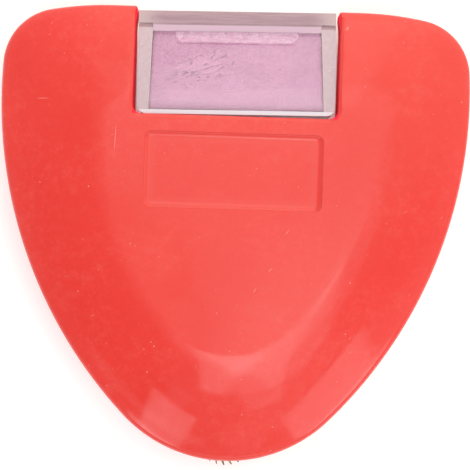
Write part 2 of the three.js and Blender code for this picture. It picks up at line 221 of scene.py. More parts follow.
def circles_meet(a, radius_a, b, radius_b):
    """Where two circles meet, on the left of the line from a to b."""
    between = b - a
    along = (radius_a ** 2 - radius_b ** 2 + between.length_squared) / (2 * between.length)
    across = math.sqrt(radius_a ** 2 - along ** 2)
    way = between.normalized()
    return a + way * along + Vector((-way.y, way.x)) * across


def dome_slope():
    """The angle at which the dome meets its rounded edge."""
    mean_reach = (CASE_HALF_WIDTH * 2 + CASE_TOP - CASE_TIP) / 4
    return math.atan(2 * DOME_DROP / (mean_reach * (1 - FLAT_SHARE)))


def dome(name, wall, skin, floor):
    """The case's form above a floor: its outline moved in by a wall, and its top lowered by a skin."""
    shoulder = Vector((TOP_FLAT_HALF, CASE_TOP - SHOULDER_RADIUS))
    tip = Vector((0, CASE_TIP + TIP_RADIUS))
    side_x = CASE_HALF_WIDTH - SIDE_RADIUS
    side = Vector((side_x, tip.y + math.sqrt((SIDE_RADIUS - TIP_RADIUS) ** 2 - side_x ** 2)))
    corner = circles_meet(side, SIDE_RADIUS - CORNER_RADIUS, shoulder, SHOULDER_RADIUS - CORNER_RADIUS)
    shoulder_end = bearing(shoulder, corner)
    corner_end = bearing(side, corner)
    side_end = bearing(side, tip)
    top_steps, shoulder_steps, corner_steps, side_steps, tip_steps = 14, 10, 22, 44, 20
    new_drawing(name, 0, CASE_TOP - wall)
    draw_line(TOP_FLAT_HALF, 0, top_steps)
    draw_arc(shoulder, shoulder_end, shoulder_steps)
    draw_arc(corner, corner_end - shoulder_end, corner_steps)
    draw_arc(side, side_end - corner_end, side_steps)
    draw_arc(tip, math.pi - side_end, tip_steps)
    mirror_and_fill()
    rim_top = HALF_THICKNESS - DOME_DROP - EDGE_RADIUS - skin
    pull_up(floor, rim_top)
    bpy.ops.mesh.select_all(action="SELECT")
    bpy.ops.mesh.normals_make_consistent(inside=False)
    select_face(lowest=False)
    slope = dome_slope()
    edge_steps = 6
    angles = [(math.pi / 2 - slope) * i / edge_steps for i in range(edge_steps + 1)]
    for a, b in zip(angles, angles[1:]):
        bpy.ops.mesh.inset(thickness=EDGE_RADIUS * (math.cos(a) - math.cos(b)),
                           depth=EDGE_RADIUS * (math.sin(b) - math.sin(a)))
    rise = HALF_THICKNESS - skin - rim_top - EDGE_RADIUS * math.cos(slope)
    dome_steps = 26
    for i in range(dome_steps):
        share, inner = 1 - i / dome_steps, 1 - (i + 1) / dome_steps
        scale = (FLAT_SHARE + (1 - FLAT_SHARE) * inner) / (FLAT_SHARE + (1 - FLAT_SHARE) * share)
        draw_line(0, 0, dz=rise * (share ** 2 - inner ** 2))
        bpy.ops.transform.resize(value=(scale, scale, 1), center_override=(0, DOME_CENTRE_Y, 0))
    return leave_drawing()


def select_face(lowest):
    """Selects the lowest or the highest of the faces that lie flat, of the mesh in edit mode."""
    bpy.ops.mesh.select_all(action="DESELECT")
    bpy.ops.mesh.select_mode(type="FACE")
    bpy.ops.object.mode_set(mode="OBJECT")
    side = -1 if lowest else 1
    flat = [p for p in bpy.context.object.data.polygons if p.normal.z * side > 0.9]
    max(flat, key=lambda p: p.center.z * side).select = True
    bpy.ops.object.mode_set(mode="EDIT")


def bevel_lowest_face(body, offset, segments):
    """Bevels the edges round a solid's lowest flat face."""
    use_alone(body)
    bpy.ops.object.mode_set(mode="EDIT")
    select_face(lowest=True)
    bpy.ops.mesh.region_to_loop()
    bpy.ops.mesh.bevel(offset=offset, segments=segments, affect="EDGES")
    return leave_drawing()


def rounded_block(name, half_x, y_low, y_high, z_low, z_high, radius, corners="all"):
    """A block with rounded upright edges: all four, or the lower two in the plan."""
    made = block(name, half_x, y_low, y_high, z_low, z_high)
    bpy.ops.object.mode_set(mode="EDIT")
    bpy.ops.mesh.select_all(action="DESELECT")
    bpy.ops.mesh.select_mode(type="EDGE")
    bpy.ops.object.mode_set(mode="OBJECT")
    points = made.data.vertices
    for edge in made.data.edges:
        a, b = (points[i].co for i in edge.vertices)
        upright = abs(a.z - b.z) > MM / 10
        edge.select = upright and (corners == "all" or a.y < (y_low + y_high) / 2)
    bpy.ops.object.mode_set(mode="EDIT")
    bpy.ops.mesh.bevel(offset=radius, segments=8, affect="EDGES")
    return leave_drawing()


def notch():
    """The notch's outline: rounded inner corners, a shallow scallop and a nib at each side of its mouth."""
    new_drawing("notch", 0, NOTCH_BOTTOM)
    draw_line(NOTCH_HALF - NOTCH_CORNER_RADIUS, 0)
    draw_arc((NOTCH_HALF - NOTCH_CORNER_RADIUS, NOTCH_BOTTOM + NOTCH_CORNER_RADIUS), -math.pi / 2, 8)
    nib_low = CASE_TOP - MOUTH_RADIUS - NIB_LENGTH
    scallop_low = nib_low - SCALLOP_LENGTH
    draw_line(0, scallop_low - NOTCH_BOTTOM - NOTCH_CORNER_RADIUS)
    steps = 10
    for i in range(steps):
        a, b = i / steps, (i + 1) / steps
        bulge = [SCALLOP_BULGE * math.sin(math.pi * share) - NIB_HEIGHT * share for share in (a, b)]
        draw_line(bulge[1] - bulge[0], SCALLOP_LENGTH / steps)
    draw_line(0, NIB_LENGTH)
    nib_x = NOTCH_HALF - NIB_HEIGHT
    draw_arc((nib_x + MOUTH_RADIUS, CASE_TOP - MOUTH_RADIUS), math.pi / 2, 5)
    draw_line(0, PAST)
    draw_line(-nib_x - MOUTH_RADIUS, 0)
    mirror_and_fill()
    pull_up(-PAST, HALF_THICKNESS + PAST)
    return leave_drawing()


def dome_height(y):
    """The height of the outer dome on the straight stretch of its top edge."""
    slope = dome_slope()
    reach = CASE_TOP - EDGE_RADIUS * (1 - math.sin(slope)) - DOME_CENTRE_Y
    share = max(0, ((y - DOME_CENTRE_Y) / reach - FLAT_SHARE) / (1 - FLAT_SHARE))
    return HALF_THICKNESS - (DOME_DROP + EDGE_RADIUS * (1 - math.cos(slope))) * share ** 2


def notch_edge():
    """A bar that runs round the notch's edge and leaves it rounded. It follows the dome from the mouth,
    down the left side, along the bottom and up the right side."""
    radius, inside, steps = NOTCH_EDGE_ROUND, NOTCH_CORNER_RADIUS / 2, 5
    corner_x, corner_y = NOTCH_HALF - NOTCH_CORNER_RADIUS, NOTCH_BOTTOM + NOTCH_CORNER_RADIUS
    mouth_y = CASE_TOP - EDGE_RADIUS
    new_drawing("notch_edge", inside - NOTCH_HALF, CASE_TOP + PAST, dome_height(mouth_y) - radius)
    draw_line(-inside, 0)
    turns = [math.pi / 2 * i / steps for i in range(steps + 1)]
    for a, b in zip(turns, turns[1:]):
        draw_line(-radius * (math.cos(a) - math.cos(b)), 0, dz=radius * (math.sin(b) - math.sin(a)))
    draw_line(0, 0, dz=PAST)
    draw_line(inside + radius, 0)
    bpy.ops.mesh.select_all(action="SELECT")
    bpy.ops.mesh.edge_face_add()
    side_steps = 24
    heights = [dome_height(mouth_y + (corner_y - mouth_y) * i / side_steps) for i in range(side_steps + 1)]
    rises = [b - a for a, b in zip(heights, heights[1:])]
    draw_line(0, mouth_y - CASE_TOP - PAST)
    for rise in rises:
        draw_line(0, (corner_y - mouth_y) / side_steps, dz=rise)
    draw_arc((-corner_x, corner_y), -math.pi / 2, 8)
    draw_line(corner_x * 2, 0)
    draw_arc((corner_x, corner_y), -math.pi / 2, 8)
    for rise in reversed(rises):
        draw_line(0, (mouth_y - corner_y) / side_steps, dz=-rise)
    draw_line(0, CASE_TOP + PAST - mouth_y)
    return leave_drawing()


def label_recess():
    """A shallow rounded rectangle whose sides start steep and run out softly onto its flat floor."""
    made = rounded_block("label", LABEL_HALF.x, LABEL_LOW, LABEL_TOP, HALF_THICKNESS,
                         HALF_THICKNESS + PAST, LABEL_CORNER_RADIUS)
    bpy.ops.object.mode_set(mode="EDIT")
    select_face(lowest=True)
    steps = 7
    turns = [math.pi / 2 * i / steps for i in range(steps + 1)]
    for a, b in zip(turns, turns[1:]):
        bpy.ops.mesh.inset(thickness=LABEL_FOOT * (math.cos(a) - math.cos(b)),
                           depth=LABEL_DEPTH * (math.sin(b) - math.sin(a)))
    bpy.ops.mesh.inset(thickness=MM / 10)
    return leave_drawing()


def funnel(name, widen):
    """The passage from the cartridge's spigot down to the wheel, widened by a wall."""
    top, low = NOTCH_BOTTOM - NOTCH_WALL, CASE_TIP - PAST
    new_drawing(name, 0, top)
    draw_line(PASSAGE_HALF + widen, 0)
    draw_line(0, PASSAGE_END - top)
    draw_line(THROAT_HALF - PASSAGE_HALF, THROAT_Y - PASSAGE_END)
    draw_line(0, low - THROAT_Y)
    draw_line(-THROAT_HALF - widen, 0)
    mirror_and_fill()
    pull_up(-PAST, HALF_THICKNESS + PAST)
    return leave_drawing()


def shell(name):
    """One shell with its parting plane at z = 0 and its dome up."""
    over = HALF_THICKNESS + PAST
    walls = funnel("funnel_walls", RIB_WALL)
    cut(walls, funnel("funnel_inside", 0))
    hollow = dome("hollow", RIM_WALL, SKIN_WALL, -PAST)
    cut(hollow, walls, rounded_block("notch_walls", NOTCH_HALF + NOTCH_WALL, NOTCH_BOTTOM - NOTCH_WALL,
                                     CASE_TOP + PAST, -PAST, over, NOTCH_CORNER_RADIUS + NOTCH_WALL, "low"))
    cut(hollow, *(round_rod("post", POST_RADIUS, x, y, -PAST, over) for x, y in PIN_PLACES))
    cut(hollow, round_rod("boss", AXLE_BOSS_RADIUS, 0, WHEEL_CENTRE.y, -PAST, over))
    body = bevel_lowest_face(dome(name, 0, 0, 0), PARTING_CHAMFER, 1)
    cut(body, hollow, notch(), notch_edge())
    cut(body, block("passage", PASSAGE_HALF, NOTCH_BOTTOM - NOTCH_WALL - PAST, NOTCH_BOTTOM + PAST,
                    -PASSAGE_HALF_DEPTH, PASSAGE_HALF_DEPTH))
    cut(body, round_rod("wheel_slot", SLOT_RADIUS, 0, WHEEL_CENTRE.y, -PAST, SLOT_HALF_DEPTH, vertices=96))
    cut(body, round_rod("axle_seat", AXLE_SEAT_RADIUS, 0, WHEEL_CENTRE.y, -PAST, AXLE_SEAT_TOP))
    return body


def node(tree, kind, inputs=None, **settings):
    """Adds a shader node with its settings, and sets or links its inputs, by name or by number."""
    made = tree.nodes.new(kind)
    for key, value in settings.items():
        setattr(made, key, value)
    for key, value in (inputs or {}).items():
        if isinstance(value, bpy.types.NodeSocket):
            tree.links.new(value, made.inputs[key])
        else:
            made.inputs[key].default_value = value
    return made


def new_material(name):
    material = bpy.data.materials.new(name)
    material.use_nodes = True
    tree = material.node_tree
    return material, tree, tree.nodes["Principled BSDF"]


def object_place(tree):
    return node(tree, "ShaderNodeTexCoord").outputs["Object"]


def noise(tree, place, spacing, detail=2, roughness=0.5):
    """A soft random pattern whose blotches are about one spacing apart."""
    return node(tree, "ShaderNodeTexNoise", {"Vector": place, "Scale": 1 / spacing, "Detail": detail,
                                             "Roughness": roughness}).outputs["Fac"]


def fade(tree, value, start, end, low=0, high=1):
    """Takes a value from low at the start to high at the end, and holds it there."""
    inputs = {"Value": value, "From Min": start, "From Max": end, "To Min": low, "To Max": high}
    return node(tree, "ShaderNodeMapRange", inputs, interpolation_type="SMOOTHSTEP").outputs["Result"]


def maths(tree, operation, *values):
    """One step of arithmetic on numbers."""
    return node(tree, "ShaderNodeMath", dict(enumerate(values)), operation=operation).outputs["Value"]


def vector(tree, operation, *values):
    """One step of arithmetic on vectors."""
    made = node(tree, "ShaderNodeVectorMath", dict(enumerate(values)), operation=operation)
    return made.outputs["Vector"]


def length(tree, place):
    return node(tree, "ShaderNodeVectorMath", {0: place}, operation="LENGTH").outputs["Value"]


def times(tree, a, b):
    return maths(tree, "MULTIPLY", a, b)


def larger(tree, a, b):
    return maths(tree, "MAXIMUM", a, b)


def sides(tree, place):
    """How far a place is from the middle line, its Y and its Z."""
    parts = node(tree, "ShaderNodeSeparateXYZ", {"Vector": place})
    return maths(tree, "ABSOLUTE", parts.outputs["X"]), parts.outputs["Y"], parts.outputs["Z"]


def block_reach(tree, place, half_x, y_low, y_high, corner_radius):
    """How far a place in the plan is from the inner corners' centres of a rounded rectangle. It equals
    the corner radius all along the rectangle's edge."""
    across, up, _ = sides(tree, place)
    middle, half_y = (y_low + y_high) / 2, (y_high - y_low) / 2
    past_x = maths(tree, "SUBTRACT", across, half_x - corner_radius)
    past_y = maths(tree, "SUBTRACT", maths(tree, "ABSOLUTE", maths(tree, "SUBTRACT", up, middle)),
                   half_y - corner_radius)
    past = node(tree, "ShaderNodeCombineXYZ", {"X": past_x, "Y": past_y, "Z": 0})
    return length(tree, vector(tree, "MAXIMUM", past.outputs["Vector"], (0, 0, 0)))


def mixed(tree, share, a, b):
    """A colour between two colours."""
    made = node(tree, "ShaderNodeMix", {"Factor": share}, data_type="RGBA")
    for socket, value in ((made.inputs[6], a), (made.inputs[7], b)):
        if isinstance(value, bpy.types.NodeSocket):
            tree.links.new(value, socket)
        else:
            socket.default_value = value
    return made.outputs[2]


def specks(tree, place, spacing, size):
    """Scattered dots, one at most in each cell of the spacing, up to twice the size across."""
    cells = node(tree, "ShaderNodeTexVoronoi", {"Vector": place, "Scale": 1 / spacing})
    return fade(tree, cells.outputs["Distance"], size / spacing, size / spacing / 2)


def turned(tree, place, bearing_degrees):
    """The place turned about Z, so that what runs along its Y has this bearing clockwise from +Y."""
    return node(tree, "ShaderNodeVectorRotate", {"Vector": place, "Angle": math.radians(bearing_degrees)},
                rotation_type="Z_AXIS").outputs["Vector"]


def stretched(tree, place, x, y, z):
    """The place with its axes scaled up, so that a pattern there is longer along them."""
    made = node(tree, "ShaderNodeMapping", {"Vector": place, "Scale": (1 / x, 1 / y, 1 / z)})
    return made.outputs["Vector"]


def scratches(tree, place, spacing, width, stretch, bearing_degrees):
    """Short thin strokes that all run one way."""
    long_place = stretched(tree, turned(tree, place, bearing_degrees), 1, stretch, 1)
    cells = node(tree, "ShaderNodeTexVoronoi", {"Vector": long_place, "Scale": 1 / spacing},
                 voronoi_dimensions="2D")
    return fade(tree, cells.outputs["Distance"], width / spacing, width / spacing / 2)


def stroke(tree, place, x, y, width, mark_length, bearing_degrees):
    """One long mark at a place in the plan, whatever its height, that fades towards its edge."""
    along_mark = turned(tree, vector(tree, "SUBTRACT", place, (x, y, 0)), bearing_degrees)
    plan = vector(tree, "MULTIPLY", along_mark, (2 / width, 2 / mark_length, 0))
    return fade(tree, length(tree, plan), 1, 0.3)


def bump(tree, height, depth, under=None, **settings):
    """Relief of this depth, laid over another relief where one is given."""
    inputs = {"Distance": depth, "Height": height}
    if under is not None:
        inputs["Normal"] = under
    return node(tree, "ShaderNodeBump", inputs, **settings).outputs["Normal"]


RED_DEEP = (0.695, 0.032, 0.024, 1)
RED_PALE = (0.72, 0.037, 0.028, 1)
RED_FLECKS = (0.2, 0.01, 0.01, 1)
DUST_COLOUR = (0.95, 0.62, 0.56, 1)
TIP_BROWN_COLOUR = (0.4, 0.14, 0.05, 1)
# Painted light: a lighter red and a glow put on the notch's sides.
NOTCH_SIDE_PAINTED_LIGHT = (0.9, 0.03, 0.055, 1)
NOTCH_SIDE_PAINTED_GLOW = (0.85, 0.03, 0.05, 1)
LABEL_BORDER = 1.3 * MM
TIP_BROWN_CENTRE = Vector((0, CASE_TIP, HALF_THICKNESS + 2 * MM))
RUBBED_SPOT = Vector((12.9, 6.0, 13)) * MM
HANDLING_MARKS = [  # x, y, width, length in millimetres, then the bearing
    (-26.6, 18.4, 0.16, 2.2, 88),
    (-16.4, 13.2, 0.2, 5, 2),
    (15.1, 29.4, 0.5, 0.9, 30),
    (7.7, 1.0, 0.22, 1.1, 40),
    (5.5, -4.3, 0.2, 0.9, 50),
    (3.5, -7.1, 0.2, 1.2, 35),
]


def label_border(tree, place):
    """The strip just inside the label recess's edge."""
    outer = block_reach(tree, place, LABEL_HALF.x, LABEL_LOW, LABEL_TOP, LABEL_CORNER_RADIUS)
    inner = block_reach(tree, place, LABEL_HALF.x - LABEL_BORDER, LABEL_LOW + LABEL_BORDER,
                        LABEL_TOP - LABEL_BORDER, LABEL_CORNER_RADIUS)
    return times(tree, fade(tree, outer, LABEL_CORNER_RADIUS + 0.1 * MM, LABEL_CORNER_RADIUS),
                 fade(tree, inner, 0.3 * MM, LABEL_BORDER))


def dust_film(tree, place):
    """A thin uneven film of dust, thicker where it has gathered in the label recess's border."""
    film = times(tree, fade(tree, noise(tree, place, 1.3 * MM, 5, 0.75), 0.42, 0.75),
                 fade(tree, noise(tree, place, 11 * MM, 2), 0.4, 0.6, 0.35, 1))
    gathered = fade(tree, noise(tree, place, 0.5 * MM, 4, 0.7), 0.3, 0.65, 0.1, 0.7)
    return larger(tree, film, times(tree, label_border(tree, place), gathered))


def dust_and_marks(tree, place):
    """Specks of dust, fine scuffs and the marks of handling."""
    spot = length(tree, vector(tree, "SUBTRACT", place, RUBBED_SPOT))
    dusty = larger(tree, fade(tree, noise(tree, place, 9 * MM, 2), 0.45, 0.62, 0.3, 1),
                   fade(tree, spot, 3.2 * MM, 1.6 * MM))
    dust = larger(tree, specks(tree, place, 1.9 * MM, 0.15 * MM), specks(tree, place, 0.7 * MM, 0.05 * MM))
    scuffs = larger(tree, scratches(tree, place, 3.3 * MM, 0.04 * MM, 9, 64),
                    scratches(tree, place, 3.9 * MM, 0.05 * MM, 6, 31))
    scuffs = times(tree, scuffs, fade(tree, noise(tree, place, 12 * MM, 1), 0.5, 0.6))
    marks = larger(tree, times(tree, dust, dusty), times(tree, scuffs, 0.7))
    for x, y, width, mark_length, mark_bearing in HANDLING_MARKS:
        mark = stroke(tree, place, x * MM, y * MM, width * MM, mark_length * MM, mark_bearing)
        marks = larger(tree, marks, mark)
    return marks


def tip_brown_mark(tree, place):
    """A patchy brown mark on the rim, from the wheel's slot up to the rounded edge."""
    reach = length(tree, stretched(tree, vector(tree, "SUBTRACT", place, TIP_BROWN_CENTRE), 2.6, 0.6, 2))
    return times(tree, fade(tree, reach, 1.2 * MM, 0.3 * MM),
                 fade(tree, noise(tree, place, 0.4 * MM, 4), 0.4, 0.56, 0.25, 1))


def red_plastic():
    """Glossy red with a slight orange peel, dust, handling marks and a patchy brown mark by the wheel. The
    sides of the notch are duller, with a lighter red and a faint red glow painted on them as light."""
    material, tree, shader = new_material("red_plastic")
    place = object_place(tree)
    across, up, _ = sides(tree, place)
    colour = mixed(tree, fade(tree, noise(tree, place, 22 * MM, 3), 0.35, 0.65), RED_DEEP, RED_PALE)
    flecks = fade(tree, noise(tree, place, 0.5 * MM, 3, 0.7), 0.35, 0.65, 0, 0.05)
    colour = mixed(tree, flecks, colour, RED_FLECKS)
    colour = mixed(tree, times(tree, dust_film(tree, place), 0.035), colour, DUST_COLOUR)
    marks = dust_and_marks(tree, place)
    colour = mixed(tree, times(tree, marks, 0.22), colour, DUST_COLOUR)
    # A patchy brown mark on the rim at the tip, by the wheel's slot.
    colour = mixed(tree, times(tree, tip_brown_mark(tree, place), 0.9), colour, TIP_BROWN_COLOUR)
    # Painted light: the notch's sides get a lighter red and a faint red glow, besides their duller finish.
    notch_side = times(tree, fade(tree, across, NOTCH_HALF + 0.06 * MM, NOTCH_HALF + 0.02 * MM),
                       fade(tree, up, NOTCH_BOTTOM - 0.05 * MM, NOTCH_BOTTOM))
    colour = mixed(tree, notch_side, colour, NOTCH_SIDE_PAINTED_LIGHT)
    tree.links.new(colour, shader.inputs["Base Color"])
    rubbed = fade(tree, noise(tree, place, 6 * MM, 5, 0.7), 0.35, 0.7, 0.06, 0.13)
    worn = maths(tree, "ADD", rubbed, times(tree, larger(tree, marks, notch_side), 0.35))
    tree.links.new(worn, shader.inputs["Roughness"])
    tree.links.new(fade(tree, notch_side, 0, 1, 0.5, 0.03), shader.inputs["Specular IOR Level"])
    shader.inputs["Emission Color"].default_value = NOTCH_SIDE_PAINTED_GLOW
    tree.links.new(times(tree, notch_side, 0.16), shader.inputs["Emission Strength"])
    wave = bump(tree, noise(tree, place, 7 * MM, 1), 0.01 * MM)
    peel = bump(tree, noise(tree, place, 1.1 * MM, 4, 0.7), 0.002 * MM, wave)
    tree.links.new(bump(tree, marks, 0.01 * MM, peel), shader.inputs["Normal"])
    return material


SMOOTH_UNDER = math.radians(28)


def finish(body, material, body_name, cad_node):
    """Gives a finished piece its material, smooth shading and its place in the frame."""
    body.data.materials.clear()
    body.data.materials.append(material)
    use_alone(body)
    bpy.ops.object.shade_smooth_by_angle(angle=SMOOTH_UNDER)
    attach(body, body_name)
    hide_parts(cad_node)


def to_place(body, face_down):
    """Stands a shell on the parting plane, turned over about Y where it is to lie face down."""
    if face_down:
        body.rotation_euler.y = math.pi
    body.location.z = HALF_THICKNESS
    use_alone(body)
    bpy.ops.object.transform_apply()


RED = red_plastic()

front = shell("front_case")
cut(front, label_recess())
cut(front, *(round_rod("socket", SOCKET_RADIUS, x, y, -PAST, SOCKET_DEPTH) for x, y in PIN_PLACES))
to_place(front, face_down=False)
finish(front, RED, "case", "front_shell")
apply_modifier(front, "WEIGHTED_NORMAL", keep_sharp=True)

back = shell("back_case")
for pin_x, pin_y in PIN_PLACES:
    join_or_cut(back, round_rod("pin", PIN_RADIUS, pin_x, pin_y, -PIN_LENGTH, PIN_LENGTH), "UNION")
to_place(back, face_down=True)
finish(back, RED, "case", "back_shell")
apply_modifier(back, "WEIGHTED_NORMAL", keep_sharp=True)


# Wheel and pin
# A thin brass wheel with raked teeth, browned and dusty with chalk. It turns on a drawn steel pin whose
# ends sit in a boss in each shell.

TARNISH_COLOUR = (0.16, 0.09, 0.035, 1)
BRASS_COLOUR = (0.4, 0.26, 0.11, 1)
CHALKY_COLOUR = (0.72, 0.5, 0.5, 1)
STEEL_DARK = (0.5, 0.5, 0.51, 1)
STEEL_LIGHT = (0.66, 0.66, 0.67, 1)


def dusty_brass():
    material, tree, shader = new_material("dusty_brass")
    place = object_place(tree)
    tarnish = fade(tree, noise(tree, place, 1.2 * MM, 4, 0.6), 0.35, 0.65)
    colour = mixed(tree, tarnish, TARNISH_COLOUR, BRASS_COLOUR)
    dust = fade(tree, noise(tree, place, 0.35 * MM, 3), 0.55, 0.68, 0, 0.5)
    colour = mixed(tree, dust, colour, CHALKY_COLOUR)
    tree.links.new(colour, shader.inputs["Base Color"])
    tree.links.new(fade(tree, dust, 0, 0.5, 0.9, 0.2), shader.inputs["Metallic"])
    tree.links.new(fade(tree, tarnish, 0, 1, 0.55, 0.35), shader.inputs["Roughness"])
    tree.links.new(bump(tree, noise(tree, place, 0.25 * MM, 3), 0.01 * MM), shader.inputs["Normal"])
    return material


def drawn_steel():
    material, tree, shader = new_material("drawn_steel")
    place = object_place(tree)
    lines = node(tree, "ShaderNodeMapping", {"Vector": place, "Scale": (1, 1, 0.03)}).outputs["Vector"]
    draw_marks = noise(tree, lines, 0.08 * MM, 2)
    tree.links.new(mixed(tree, draw_marks, STEEL_DARK, STEEL_LIGHT), shader.inputs["Base Color"])
    shader.inputs["Metallic"].default_value = 1
    tree.links.new(fade(tree, draw_marks, 0.3, 0.7, 0.22, 0.4), shader.inputs["Roughness"])
    return material


for name, metal in (("marking_wheel", dusty_brass()), ("wheel_axle", drawn_steel())):
    turned_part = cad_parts[name]
    turned_part.data.materials.clear()
    turned_part.data.materials.append(metal)


# Powder
# Fine pink chalk powder: a packed charge in the cartridge, cracked and settled at its face, and what has
# run down loose into the funnel.

LUMP_SIZE = 0.25 * MM
LUMP_DEPTH = 0.1 * MM
POWDER_SWELL = 0.18 * MM
SLUMP_CENTRE = Vector((-4.8, 23.1)) * MM
SLUMP_WIDTH = 6 * MM
SLUMP_LENGTH = 16 * MM
SLUMP_BEARING = 72
CRACK_BEARING = 71
POWDER_DEEP = (0.58, 0.278, 0.457, 1)
POWDER_PALE = (0.645, 0.32, 0.515, 1)
GRAIN_COLOUR = (0.46, 0.2, 0.34, 1)
CRACK_SHADE_AND_GRIT_COLOUR = (0.3, 0.12, 0.21, 1)


def merged_copy(name, cad_node):
    """A copy of a CAD solid as one merged mesh, to be worked into a piece."""
    made = bpy.data.objects.new(name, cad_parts[cad_node].data.copy())
    bpy.context.collection.objects.link(made)
    use_alone(made)
    bpy.ops.object.mode_set(mode="EDIT")
    bpy.ops.mesh.select_all(action="SELECT")
    bpy.ops.mesh.remove_doubles(threshold=MM / 1000)
    bpy.ops.object.mode_set(mode="OBJECT")
    return made


def heap(name, cad_node, body_name):
    """Powder that fills a room: swollen to touch the walls, with lumps that only go inwards."""
    made = merged_copy(name, cad_node)
    apply_modifier(made, "REMESH", mode="VOXEL", voxel_size=LUMP_SIZE)
    apply_modifier(made, "DISPLACE", strength=POWDER_SWELL, mid_level=0)
    for size, depth in ((2.5 * MM, LUMP_DEPTH), (0.7 * MM, LUMP_DEPTH / 3)):
        lumps = bpy.data.textures.new(name, "CLOUDS")
        lumps.noise_scale = size
        apply_modifier(made, "DISPLACE", texture=lumps, strength=depth, mid_level=1, texture_coords="LOCAL")
    finish(made, POWDER, body_name, cad_node)


def powder_cracks(tree, place):
    """Fine broken cracks where the charge has slumped, and fainter ones in patches elsewhere."""
    slump = stroke(tree, place, SLUMP_CENTRE.x, SLUMP_CENTRE.y, SLUMP_WIDTH, SLUMP_LENGTH, SLUMP_BEARING)
    creases = noise(tree, stretched(tree, turned(tree, place, CRACK_BEARING), 1, 5, 1), 0.9 * MM, 4, 0.6)
    from_crease = maths(tree, "ABSOLUTE", maths(tree, "SUBTRACT", creases, 0.5))
    elsewhere = fade(tree, noise(tree, place, 5 * MM, 1), 0.55, 0.65, 0, 0.3)
    broken = times(tree, fade(tree, noise(tree, place, 1 * MM, 2), 0.44, 0.54),
                   larger(tree, slump, elsewhere))
    return times(tree, fade(tree, from_crease, 0.026, 0.006), broken)


def pink_powder():
    """Mottled grains, a few of them dark, with fine cracks that are bumped and darkened with painted shade.
    """
    material, tree, shader = new_material("pink_powder")
    place = object_place(tree)
    patches = fade(tree, noise(tree, place, 3.2 * MM, 5, 0.65), 0.35, 0.7)
    grains = fade(tree, noise(tree, place, 0.3 * MM, 2, 0.7), 0.4, 0.62)
    colour = mixed(tree, patches, POWDER_DEEP, POWDER_PALE)
    colour = mixed(tree, times(tree, grains, 0.6), colour, GRAIN_COLOUR)
    cracks = powder_cracks(tree, place)
    grit = times(tree, specks(tree, place, 0.55 * MM, 0.08 * MM), fade(tree, patches, 0.8, 0.2, 0.35, 0.8))
    grit = larger(tree, grit, specks(tree, place, 2.3 * MM, 0.11 * MM))
    # The cracks are darkened with painted shade; the grit is dark grains of the powder.
    darker = larger(tree, times(tree, cracks, 0.55), times(tree, grit, 0.7))
    colour = mixed(tree, darker, colour, CRACK_SHADE_AND_GRIT_COLOUR)
    tree.links.new(colour, shader.inputs["Base Color"])
    shader.inputs["Roughness"].default_value = 0.95
    shader.inputs["Specular IOR Level"].default_value = 0.2
    grain = bump(tree, noise(tree, place, 0.3 * MM, 4, 0.7), 0.03 * MM)
    tree.links.new(bump(tree, cracks, 0.08 * MM, grain, invert=True), shader.inputs["Normal"])
    return material


POWDER = pink_powder()
heap("packed_powder", "cartridge_powder", "cartridge")
heap("loose_powder", "funnel_powder", "case")


# Cartridge
# A clear moulded box with a thicker plate at its outer end, a nail catch in its face and a spigot that
# plugs into the case. Its edges are softened as a polished mould leaves them.

EDGE_SOFTENING = 0.1 * MM
BOX_SEAT = NOTCH_BOTTOM + 0.2 * MM
BOX_TOP = CASE_TOP - 0.45 * MM
BOX_SKEW = math.radians(0.9)
BOX_PIVOT = Vector((0, (CASE_TOP + NOTCH_BOTTOM) / 2, 0))
LID_FOOT = BOX_TOP - 1.75 * MM
LID_EDGE = LID_FOOT - 0.25 * MM
PANE_HALF = NOTCH_HALF - 2.45 * MM
PANE_LOW = BOX_SEAT + 0.5 * MM
PANE_DRAFT = 0.45 * MM
CATCH_HALF = 8.6 * MM
CATCH_LOW = LID_FOOT - 2.75 * MM
CATCH_RADIUS = 1.2 * MM
FLAT_WITHIN = math.radians(0.3)
SHARP_FROM = math.radians(35)
CLEAR_COLOUR = (0.99, 0.985, 0.985, 1)
UNDER_LID_COLOUR = (0.6, 0.4, 0.51, 1)
CATCH_COLOUR = (0.99, 0.86, 0.94, 1)
CATCH_LINE_COLOUR = (0.84, 0.72, 0.79, 1)
LID_DEEP = (0.352, 0.21, 0.257, 1)
LID_PALE = (0.414, 0.266, 0.312, 1)
LID_END_COLOUR = (0.51, 0.37, 0.395, 1)
WALL_DEEP = (0.7, 0.53, 0.59, 1)
WALL_PALE = (0.77, 0.61, 0.67, 1)
WALL_SHADE = (0.25, 0.09, 0.1, 1)
FOOT_COLOUR = (0.68, 0.62, 0.69, 1)


def clouded_colour(tree, straight, lid_streaks, wall, lid, foot):
    """The colour of the dusty walls, shaded under the lid, of the streaked lid and of the foot."""
    across, up, _ = sides(tree, straight)
    lid_colour = mixed(tree, fade(tree, noise(tree, lid_streaks, 0.5 * MM, 4, 0.65), 0.35, 0.65),
                       LID_DEEP, LID_PALE)
    lid_end = times(tree, fade(tree, across, PANE_HALF - 2 * MM, NOTCH_HALF - 0.6 * MM), 0.9)
    lid_colour = mixed(tree, lid_end, lid_colour, LID_END_COLOUR)
    wall_colour = mixed(tree, fade(tree, noise(tree, straight, 0.5 * MM, 4, 0.7), 0.3, 0.7),
                        WALL_DEEP, WALL_PALE)
    shaded = times(tree, wall, fade(tree, up, LID_EDGE - 0.45 * MM, LID_EDGE - 0.25 * MM))
    wall_colour = mixed(tree, times(tree, shaded, 0.5), wall_colour, WALL_SHADE)
    wall_colour = mixed(tree, foot, wall_colour, FOOT_COLOUR)
    return mixed(tree, lid, wall_colour, lid_colour)


